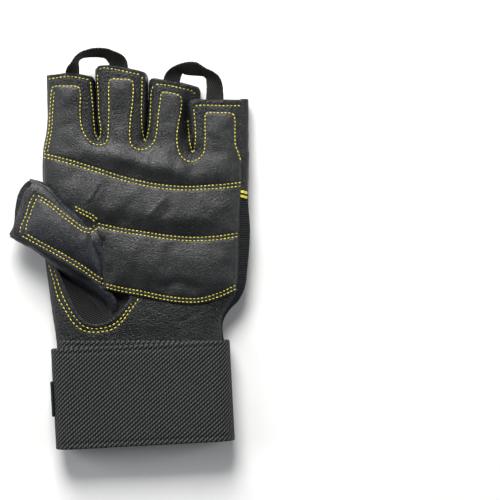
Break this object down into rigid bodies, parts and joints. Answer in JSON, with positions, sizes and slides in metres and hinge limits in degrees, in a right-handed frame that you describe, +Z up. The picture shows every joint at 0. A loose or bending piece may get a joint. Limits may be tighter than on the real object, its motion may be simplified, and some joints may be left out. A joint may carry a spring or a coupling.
{
  "type": "weightlifting glove",
  "caption": "Left-hand fingerless weightlifting glove lying palm up: padded leather palm, open finger and thumb stalls, pull loops and an elastic wrist wrap.",
  "frame": {"origin": "on the surface under the middle of the whole glove", "axes": "+Y towards the fingertips, +X towards the little finger, +Z up from the back of the hand to the palm face"},
  "size_m": [0.1444, 0.2398, 0.028],
  "materials": {
    "leather": "semi-matt fine-grained black leather with yellow thread",
    "knit": "matt black stretch knit",
    "elastic": "matt charcoal twill elastic",
    "tape": "matt dark woven tape",
    "hook": "matt black hook tape"
  },
  "bodies": {
    "root": {"palm_leather": "leather", "fourchette_index_middle": "leather", "fourchette_middle_ring": "leather", "fourchette_ring_little": "leather", "index_side_strip": "leather", "little_side_leather": "leather", "palm_overlay": "leather", "thumb_overlay": "leather", "thumb_front": "leather", "thumb_lower_side": "leather", "thumb_upper_side": "leather", "back_panel": "knit", "side_knit": "knit", "thumb_gusset": "knit", "thumb_back": "knit", "wrist_wrap": "elastic", "hook_tab": "hook", "pull_loop_index_middle": "tape", "pull_loop_ring_little": "tape"}
  },
  "joints": []
}
